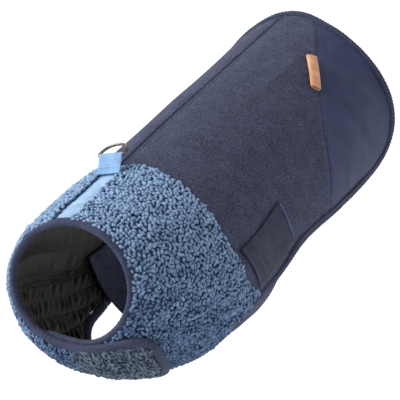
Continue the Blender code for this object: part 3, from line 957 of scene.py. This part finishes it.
def pile(name, cloth, pressed_from, pressed_to, overhang_mm, seed):
    """Curls all over a panel. They lie flat and grey past pressed_to, as a share of the way down.

    Those at the spine lean out over the webbing by overhang_mm.
    """
    random = np.random.default_rng(seed)
    down, back = spread(cloth, PILE_GAP, PILE_TRIES, seed)
    count = len(down)
    flat = soft_step(down, pressed_from, pressed_to)
    places, normals = cloth.line(down, back)

    def way(down_step, back_step):
        ahead, _ = cloth.line(np.clip(down + down_step, 0, 1), np.clip(back + back_step, 0, 1))
        behind, _ = cloth.line(np.clip(down - down_step, 0, 1), np.clip(back - back_step, 0, 1))
        return unit(ahead - behind)

    run = square_to(way(0, NUDGE), normals)
    aside = np.cross(normals, run)
    m, n = cloth.down.shape
    rows, columns = np.round(down * (m - 1)).astype(int), np.round(back * (n - 1)).astype(int)
    overhang = overhang_mm * MM * np.exp(-cloth.down[rows, columns] / OVERHANG_REACH)
    places = places - way(NUDGE, 0) * overhang[:, None]
    loose, combed = random.normal(80, 50, count), random.normal(10, 18, count)
    heading = np.radians(loose * (1 - flat) + combed * flat)[:, None]
    tilt = random.normal(0, 0.3, (count, 2))
    up = unit(normals + run * tilt[:, :1] + aside * tilt[:, 1:])
    x = square_to(run * np.cos(heading) + aside * np.sin(heading), up)
    y = np.cross(up, x)
    clump = waves(places, 14, seed + 1)
    size = random.uniform(0.95, 1.4, count) * MM
    long = size * (1 + 0.35 * flat)
    high = size * (1 + 0.16 * clump) * (1 - 0.35 * flat)
    frames = np.stack([x * long[:, None], y * size[:, None], up * high[:, None]], 1)
    kinds = random.integers(0, len(CURLS), count)
    # Each curl's tone is random, plus painted light on the higher clumps and painted shade in the gaps
    # between them, and painted shade that darkens the curls down the panel towards its lower edge.
    tone_and_painted_shade = random.normal(0, 0.13, count) + 0.1 * clump + 0.28 - 0.95 * soft_step(down, 0.0, 0.85)
    ground = places - up * 1.5 * MM
    shapes = [curl(*row) for row in CURLS]
    return copies(name, shapes, kinds, ground, frames, SHERPA, {"tone_and_painted_shade": tone_and_painted_shade, "pressed": flat})


# ---- pieces ---------------------------------------------------------------------------------


def on_coat(obj, slot, *nodes):
    """Fixes a piece to the coat and hides the solids that it stands for; slot is not used."""
    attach(obj, "coat")
    if nodes:
        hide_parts(*nodes)


def puckers(cloth, distance, along, reach_mm, pitch_mm, height_mm, seed):
    """Small gathers that run in from a sewn edge."""
    wander = waves(cloth.points, 4 * pitch_mm, seed) * 1.6
    return height_mm * np.sin(along / pitch_mm * 2 * math.pi + wander) * np.exp(-distance / reach_mm)


# Columns: overhang at the spine in mm, and the shares down where the pile starts to be pressed
# and lies flat, as it does on the chest flap.
YOKES = {"left": (2.8, 0.95, 1.1), "right": (0.6, 0.7, 0.8)}


def yoke(side):
    """One half of the yoke: its backing, and the curls on it."""
    cloth = Cloth(grid_of(f"yoke_{side}"), 2.8)
    cloth.reach_under("neck", "low")
    seed = 10 + SEED[side]
    height = -1.2 + 0.4 * waves(cloth.points, 30, seed)
    ground = shell(f"sherpa_ground_{side}", cloth, height, 1.2, GROUND)
    overhang, pressed_from, pressed_to = YOKES[side]
    curls = pile(f"sherpa_pile_{side}", cloth, pressed_from, pressed_to, overhang, seed)
    on_coat(ground, "sherpa", f"yoke_{side}")
    on_coat(curls, "sherpa")


# Creases of the back panels. Columns: share down, share back, length, heading from the tail
# direction in degrees, width, height and bow, in mm.
BACK_CREASES = {
    "left": (
        (0.30, 0.30, 120, 14, 13, -0.9, 6), (0.46, 0.62, 150, -9, 16, 1.0, -7),
        (0.62, 0.35, 90, 24, 11, -0.8, 5), (0.20, 0.75, 110, 4, 12, 0.7, 4),
        (0.74, 0.18, 60, 66, 9, 0.9, 3), (0.85, 0.52, 80, 12, 9, -0.7, -4),
        (0.40, 0.12, 70, 70, 10, 0.6, 5), (0.55, 0.86, 60, 52, 9, -0.5, 3),
    ),
    "right": (
        (0.25, 0.42, 130, -10, 14, -0.9, -6), (0.50, 0.25, 100, 18, 12, 0.9, 5),
        (0.66, 0.60, 120, 8, 15, -0.9, 6), (0.38, 0.80, 70, -28, 10, 0.7, -4),
        (0.80, 0.30, 70, 60, 9, 0.8, 3), (0.12, 0.55, 150, 3, 12, 0.6, 3),
    ),
}
# Distance of the stitches from the spine, in mm.
SPINE_ROW = 4.4


def back_panel(side):
    """A fleece panel with a rolled seam at the spine, long creases and gathered edges."""
    cloth = Cloth(grid_of(f"back_{side}"), 2.0)
    cloth.reach_under("low", "tail")
    seed = 20 + SEED[side]
    down = cloth.down
    height = 0.35 * waves(cloth.points, 75, seed) + creases(cloth, BACK_CREASES[side])
    height *= 1 - ridge(down, 1, 9)
    height += dip(down, 2.0, 1.1) + ridge(down - 2.9, 0.8, 1.2) + dip(down - 5.4, 1.1, 0.9)
    height += dip(cloth.back, 1.4, 2.4) + dip(cloth.back_end, 1.5, 1.6) + dip(cloth.down_end, 0.9, 1.5)
    height += puckers(cloth, cloth.back_end, cloth.down, 8, 9, 0.4, seed + 1)
    height += puckers(cloth, cloth.down_end, cloth.back, 8, 8, 0.4, seed + 2)
    panel = shell(f"back_panel_{side}", cloth, height, 1.0, FLEECE)
    on_coat(panel, "fleece", f"back_{side}")
    m, n = down.shape
    down_share = np.interp(SPINE_ROW, down[:, n // 2], np.arange(m)) / (m - 1)
    line = cloth.line(down_share, np.linspace(0.012, 0.995, 200))
    row = seam_stitches(f"spine_stitches_{side}", line, "spine")
    on_coat(row, "binding")


TAIL_CREASES = (
    (0.35, 0.5, 110, 62, 12, 0.8, 6), (0.62, 0.6, 70, 38, 9, -0.7, 4), (0.2, 0.45, 60, 80, 9, -0.5, 3),
    (0.78, 0.4, 60, 70, 7, 0.6, 3), (0.5, 0.75, 80, 20, 8, 0.5, -4),
)
# Distance of the stitches from the seam with the back, in mm.
TAIL_ROW = 2.6


def tail_panel(side):
    """A smooth corner panel, top-stitched along its seam with the back."""
    cloth = Cloth(grid_of(f"tail_{side}"), 1.8)
    cloth.reach_under("low", "tail")
    seed = 30 + SEED[side]
    height = 0.3 * waves(cloth.points, 50, seed) + creases(cloth, TAIL_CREASES)
    height += dip(cloth.back, 0.9, 1.0) + dip(cloth.back_end, 0.7, 1.4)
    height += ridge(cloth.back - 1.5, 0.35, 0.8) + dip(cloth.back - TAIL_ROW, 0.3, 0.6)
    height += puckers(cloth, cloth.back_end, cloth.down, 5, 7, 0.22, seed + 1)
    height += puckers(cloth, cloth.back, cloth.down, 4, 6, 0.12, seed + 2)
    panel = shell(f"tail_panel_{side}", cloth, height, 0.8, SMOOTH)
    on_coat(panel, "smooth_weave", f"tail_{side}")
    back_share = TAIL_ROW / cloth.back[len(cloth.back) // 2, -1]
    line = cloth.line(np.linspace(0.01, 0.99, 160), back_share)
    row = seam_stitches(f"tail_stitches_{side}", line, "tail")
    on_coat(row, "smooth_weave")


PATCH_CREASES = (
    (0.35, 0.3, 34, 50, 4, 1.1, 3), (0.55, 0.62, 42, 42, 4, -0.9, 4), (0.7, 0.35, 26, 60, 3, 0.9, 2),
    (0.8, 0.8, 30, 20, 3, 0.8, 2), (0.2, 0.7, 28, 65, 3, -0.7, 2), (0.5, 0.15, 30, 75, 3, 0.8, -2),
)


def flank_patch(side):
    """A crumpled patch on the flank, stitched on three sides and piped along its rear edge, the piping's
    pale blue being a painted highlight.
    """
    cloth = Cloth(grid_of(f"patch_{side}"), 1.4)
    height = 0.3 * waves(cloth.points, 26, 40 + SEED[side]) + creases(cloth, PATCH_CREASES)
    for distance in (cloth.back, cloth.back_end, cloth.down, cloth.down_end):
        height += dip(distance, 0.35, 0.7) + dip(distance - 2.0, 0.25, 0.5)
    height += ridge(cloth.back - 1.0, 0.9, 2.0)
    panel = shell(f"flank_patch_{side}", cloth, height, 0.8, PATCH)
    on_coat(panel, "smooth_weave", f"patch_{side}")
    run = np.linspace(0.03, 0.97, 60)
    added = []
    for edge, down_share, back_share in (("top", 0.04, run), ("rear", run, 0.965), ("low", 0.96, run)):
        line = cloth.line(down_share, back_share)
        added.append(seam_stitches(f"patch_stitches_{edge}_{side}", line, "patch"))
    points, normals = cloth.line(np.linspace(0.02, 0.98, 60), 1.0)
    path = points + normals * 0.2 * MM
    added.append(tube(f"patch_painted_highlight_piping_{side}", path, 0.7 * MM, PAINTED_HIGHLIGHT_PIPING, 10, close=False))
    for piece in added:
        on_coat(piece, "smooth_weave")


# Quilting of each half of the lining: channels, columns that their seams are evened over, and
# height in mm.
CHANNELS = 15
CHANNEL_SMOOTHING = 9
CHANNEL_HEIGHT = 1.5


def lining(side):
    """Lining sewn to its padding in channels that run along the body, with puckers across them."""
    cloth = Cloth(grid_of(f"lining_{side}", outward=False), 2.1, sign=-1)
    cloth.reach_under("neck", "low", "tail", lift_mm=3.2)
    seed = 50 + SEED[side]
    random = np.random.default_rng(seed)
    channel = cloth.down / cloth.down[-1:] * CHANNELS
    pillow = np.abs(np.sin(math.pi * channel)) ** 0.75
    number = np.clip(np.floor(channel).astype(int), 0, CHANNELS)
    shift = random.uniform(0, 6, CHANNELS + 1)[number]
    pitch = random.uniform(8.5, 11.5, CHANNELS + 1)[number]
    slant = (channel - number - 0.5) * 9
    turns = (cloth.back + slant) / pitch
    fold = np.sin(turns * 2 * math.pi + shift + 2.1 * waves(cloth.points, 24, seed + 1))
    fold *= 0.5 + 0.4 * waves(cloth.points, 16, seed + 2)
    height = CHANNEL_HEIGHT * (pillow - 1) + 1.1 * fold * pillow
    height *= soft_step(np.minimum(cloth.back, cloth.back_end), 0, 7)
    panel = shell(f"lining_cloth_{side}", cloth, np.minimum(height, 1.2), 1.0, QUILT)
    on_coat(panel, "quilt", f"lining_{side}")
    m, n = channel.shape
    shares = np.linspace(0.02, 0.98, 240)
    columns = np.round(shares * (n - 1)).astype(int)
    window = np.full(CHANNEL_SMOOTHING, 1 / CHANNEL_SMOOTHING)
    rows = []
    for seam in range(1, CHANNELS):
        places = [np.interp(seam, channel[:, j], np.arange(m)) / (m - 1) for j in columns]
        smooth = np.convolve(np.pad(places, CHANNEL_SMOOTHING // 2, "edge"), window, "valid")
        rows.append(seam_stitches(f"lining_seam_{seam}", cloth.line(smooth, shares), "quilting"))
    threads = joined(f"lining_stitches_{side}", rows)
    on_coat(threads, "quilt")


CLOTH_POINTS = np.concatenate([grid_of(f"lining_{side}", outward=False).reshape(-1, 3) for side in SIDES])


def nearest_cloth(points):
    """Distance from each point to the lining."""
    return np.sqrt(((points[:, None] - CLOTH_POINTS[None]) ** 2).sum(-1).min(1))


def binding_path(node):
    """A binding's middle line, the ways across it off the cloth and out from the body, and half its
    width and thickness."""
    rings = rings_of(node)
    centres = np.array([ring.mean(0) for ring in rings])
    run = unit(np.gradient(centres, axis=0))
    across = np.array([np.linalg.svd(ring - centre)[2][0] for ring, centre in zip(rings, centres)])
    out = unit(np.cross(run, across))
    out *= np.sign((out * away_from_middle(centres)).sum(1, keepdims=True))
    across = unit(np.cross(out, run))
    reach = across * CLOTH_REACH
    off_cloth = nearest_cloth(centres + reach) > nearest_cloth(centres - reach)
    if off_cloth.mean() < 0.5:
        across = -across
    half_wide = np.mean([np.abs((r - c) @ a).max() for r, c, a in zip(rings, centres, across)])
    half_thick = np.mean([np.abs((r - c) @ o).max() for r, c, o in zip(rings, centres, out)])
    places = even_places(np.linalg.norm(np.diff(centres, axis=0), axis=1), BINDING_STEP)
    weights = through(places, len(centres))
    return weights @ centres, unit(weights @ across), unit(weights @ out), half_wide, half_thick


def zigzag(name, centres, across, out, half_wide, half_thick):
    """Zigzag stitches along the edge of a binding that lies on the cloth."""
    marks = distances_mm(centres)
    stops = np.arange(ZIGZAG_MARGIN, marks[-1] - ZIGZAG_MARGIN, ZIGZAG_PITCH)
    inner = np.arange(len(stops)) % 2 == 0
    swing = half_wide * np.where(inner, -0.82, -0.36)
    lift = half_thick * np.where(inner, 0.68, 0.86) + 0.05 * MM
    middle, aside, up = (at_marks(stops, marks, field) for field in (centres, across, out))
    thread = middle + unit(aside) * swing[:, None] + unit(up) * lift[:, None]
    obj = stitches(name, thread[:-1], thread[1:], unit(up)[:-1], 0.4, THREAD)
    on_coat(obj, "binding")


def binding(node, name, seed):
    """A folded knit binding round an edge, with crimps and a waist where it is sewn down."""
    path = binding_path(node)
    centres, across, out, half_wide, half_thick = path
    marks = distances_mm(centres)
    crimp = np.sin(marks / CRIMP_PITCH * 2 * math.pi + 1.5 * waves(centres, 18, seed))[:, None]
    swell = waves(centres, 40, seed + 1)[:, None]
    m, n = len(centres), BINDING_SIDES
    turn = 2 * math.pi * np.arange(n) / n
    a, b = (np.sign(wave) * np.abs(wave) ** 0.75 for wave in (np.cos(turn), np.sin(turn)))
    edge = np.clip(a, 0, 1)
    waist = 1 - ridge(a + 0.55, 0.32, 0.22)
    ends = np.ones((m, 1))
    ends[[0, -1]] = 0.55
    wide = half_wide * (a * (1 + 0.03 * swell) + 0.09 * crimp * edge) * ends
    thick = half_thick * b * waist * (1 + 0.14 * crimp * (1 - 0.4 * edge) + 0.05 * swell) * ends
    points = centres[:, None] + across[:, None] * wide[..., None] + out[:, None] * thick[..., None]
    caps = np.stack([np.arange(n), np.arange(n)[::-1] + (m - 1) * n])
    obj = mesh_object(name, points.reshape(-1, 3), [grid_faces(m, n, close=True), caps], BINDING)
    cut = np.stack([np.repeat(marks, n), np.tile(np.arange(n) * 1.4, m), np.zeros(m * n)], -1)
    add_values(obj, "cut", cut * MM)
    outward(obj)
    on_coat(obj, "binding", node)
    zigzag(f"{name}_zigzag", *path)


def spine_webbing():
    """The ribbed strip that lies sunk between the two halves of the pile."""
    cloth = Cloth(grid_of("webbing_strip").transpose(1, 0, 2), 0.9)
    middle = cloth.down[-1:] / 2
    ribs = 0.14 * np.cos(cloth.down / 3.1 * 2 * math.pi)
    height = ribs - 0.5 * ((cloth.down - middle) / middle) ** 4 + 0.25 * waves(cloth.points, 40, 61)
    strip = shell("spine_webbing", cloth, height, 1.0, WEBBING)
    on_coat(strip, "webbing", "webbing_strip")
    run = np.linspace(0.01, 0.99, 60)
    rows = [seam_stitches("strip_edge", cloth.line(share, run), "webbing") for share in EDGE_ROWS]
    threads = joined("spine_webbing_stitches", rows)
    on_coat(threads, "webbing")


def keeper():
    """The folded webbing that holds the ring."""
    control = rows_of("ring_keeper")
    if control[0, 0, 1] > control[-1, 0, 1]:
        control = control[::-1]
    run = even_places(np.linalg.norm(np.diff(control, axis=0), axis=2).mean(1), KEEPER_STEP)
    path = through(run, len(control)) @ control.mean(1)
    half = abs(control[0, 1, 0] - control[0, 0, 0]) / 2
    m, n = len(path), KEEPER_COLUMNS
    shares = np.linspace(-1, 1, n)
    points = path[:, None] + np.outer(shares * half, (1, 0, 0))
    normals = normals_of(points, points - RING_BAR * np.array([0, 1, 1]))
    marks = distances_mm(path)
    rib = 0.12 * np.cos(marks / KEEPER_RIB * 2 * math.pi)[:, None]
    edge = 0.35 * np.abs(shares) ** 8
    face = points + normals * (rib - edge)[..., None] * MM
    behind = points - normals * MM
    both = np.concatenate([face.reshape(-1, 3), behind.reshape(-1, 3)])
    obj = mesh_object("ring_keeper_webbing", both, [shell_faces(m, n)], KEEPER)
    cut = np.stack([np.repeat(marks, n), np.tile(shares * half / MM, m), np.zeros(m * n)], -1) * MM
    add_values(obj, "cut", np.concatenate([cut, cut]))
    outward(obj)
    on_coat(obj, "webbing", "ring_keeper")
    keeper_bars(path, marks, normals[:, 0], half)


def keeper_bars(path, marks, normals, half):
    """Short bars of thread in rows that sew the keeper down."""
    starts, ends, ups = [], [], []
    for distance in KEEPER_ROWS:
        row = int(np.interp(distance, marks, np.arange(len(path))))
        up = normals[row]
        tilt = unit(path[row + 1] - path[row - 1]) * 0.65 * MM
        for x in np.arange(-0.86, 0.87, 0.12):
            centre = path[row] + np.array([x * half, 0, 0]) + up * 0.15 * MM
            starts.append(centre - tilt)
            ends.append(centre + tilt)
            ups.append(up)
    bars = stitches("keeper_stitches", np.array(starts), np.array(ends), np.array(ups), 0.24, BLUE_THREAD)
    on_coat(bars, "webbing")


def ring():
    """The wire ring: a straight bar in the keeper, two bent corners and a round arch."""
    low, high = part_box("d_ring")
    wire = RING_BAR[2] - low.z
    half = high.x - wire
    crown = np.array([0, high.y - wire - RING_BAR[1], high.z - wire - RING_BAR[2]])
    reach = np.linalg.norm(crown)
    arch = max(reach - half, RING_BEND)
    corner = half - RING_BEND

    def arc(x, y, radius, start, end, steps):
        turns = np.radians(np.linspace(start, end, steps))
        return [(x + radius * math.cos(turn), y + radius * math.sin(turn)) for turn in turns]

    path = [(x, 0.0) for x in np.linspace(-corner, corner, 14)]
    path += arc(corner, RING_BEND, RING_BEND, -90, 0, 6)[1:]
    path += arc(0, arch, half, 0, 180, 40)[1:-1]
    path += arc(-corner, RING_BEND, RING_BEND, 180, 270, 6)[:-1]
    points = [RING_BAR + np.array([x, 0, 0]) + crown / reach * y for x, y in path]
    obj = tube("wire_ring", points, wire, METAL)
    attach(obj, "ring")
    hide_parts("d_ring")


def leather_tab():
    """The folded leather tab, with rounded cut edges."""
    form = welded("leather_tab")
    bmesh.ops.join_triangles(
        form, faces=form.faces, cmp_seam=False, cmp_sharp=False, cmp_uvs=False, cmp_vcols=False,
        cmp_materials=False, angle_face_threshold=math.pi, angle_shape_threshold=math.pi,
    )
    crease = form.edges.layers.float.new("crease_edge")
    for edge in form.edges:
        if len(edge.link_faces) == 2 and edge.calc_face_angle(0) > TAB_CORNER:
            edge[crease] = TAB_CREASE
    obj = object_of("leather_loop", form, LEATHER)
    smooth = obj.modifiers.new("rounding", "SUBSURF")
    smooth.levels = smooth.render_levels = 3
    on_coat(obj, "leather", "leather_tab")


def belly_band():
    """The wide fleece band under the belly, stitched along both edges."""
    cloth = Cloth(grid_of("belly_strap"), 2.2)
    height = 0.4 * waves(cloth.points, 40, 71) + dip(cloth.back, 0.7, 1.6) + dip(cloth.back_end, 0.7, 1.6)
    band = shell("belly_band", cloth, height, 1.4, FLEECE)
    on_coat(band, "fleece", "belly_strap")
    run = np.linspace(0.01, 0.99, 160)
    rows = [seam_stitches("band_edge", cloth.line(run, share), "belly") for share in EDGE_ROWS]
    threads = joined("belly_band_stitches", rows)
    on_coat(threads, "fleece")


for flank in SIDES:
    yoke(flank)
    back_panel(flank)
    tail_panel(flank)
    flank_patch(flank)
    lining(flank)
    binding(f"leg_binding_{flank}", f"leg_edge_{flank}", 81)
binding("hem_binding", "hem_edge", 82)
binding("neck_binding", "neck_edge", 83)
spine_webbing()
keeper()
ring()
leather_tab()
belly_band()


# ---- stage, lights and camera ---------------------------------------------------------------


def floor():
    """A pale ground well below the coat."""
    size, drop = 9.0, 0.45
    corners = [(-size, -size), (size, -size), (size, size), (-size, size)]
    points = [(x, y, cad_low.z - drop) for x, y in corners]
    material, tree, shader = finish_of("pale_floor", 0.9)
    grain = use(tree, GRAIN, Size=40.0, Cloud=400.0)
    clouds = stretch(tree, grain.outputs["Cloudiness"], 0.3, 0.7)
    colour = blend_colours(tree, clouds, (0.74, 0.74, 0.74), (0.76, 0.76, 0.76))
    tree.links.new(colour, shader.inputs["Base Color"])
    mesh_object("floor", points, [np.array([[0, 1, 2, 3]])], material, smooth=False)


def lights():
    """A wide soft key from above the coat's right shoulder, and even white light all round."""
    light = bpy.data.lights.new("key", "SUN")
    light.energy = 3.9
    light.angle = math.radians(48)
    key = bpy.data.objects.new("key", light)
    key.rotation_euler = Vector((0.62, 0.28, -0.78)).to_track_quat("-Z", "Y").to_euler()
    bpy.context.scene.collection.objects.link(key)
    world = bpy.data.worlds.new("studio")
    world.use_nodes = True
    world.node_tree.nodes["Background"].inputs["Color"].default_value = (1, 1, 1, 1)
    world.node_tree.nodes["Background"].inputs["Strength"].default_value = 0.65
    bpy.context.scene.world = world


def camera():
    """A long lens ahead of the coat, to its left and a little above it, rolled to one side."""
    azimuth, elevation, roll = math.radians(35), math.radians(20.5), math.radians(18.5)
    distance, sensor, width_at_aim = 1.7, 36.0, 381 * MM
    level = Vector((math.cos(azimuth), math.sin(azimuth), 0))
    back = Vector((math.sin(azimuth), -math.cos(azimuth), math.tan(elevation))) * math.cos(elevation)
    rise = back.cross(level)
    right = level * math.cos(roll) - rise * math.sin(roll)
    up = level * math.sin(roll) + rise * math.cos(roll)
    aim = MIDDLE + (Vector((20, -29, 23)) - right * 1.9 - up * 5.2) * MM
    place = aim + back * distance
    data = bpy.data.cameras.new("camera")
    data.sensor_width = sensor
    data.lens = sensor * distance / width_at_aim
    obj = bpy.data.objects.new("camera", data)
    obj.matrix_world = Matrix([(*right, 0), (*up, 0), (*back, 0), (*place, 1)]).transposed()
    bpy.context.scene.collection.objects.link(obj)
    bpy.context.scene.camera = obj


floor()
lights()
camera()
bpy.context.scene.view_settings.view_transform = "Standard"
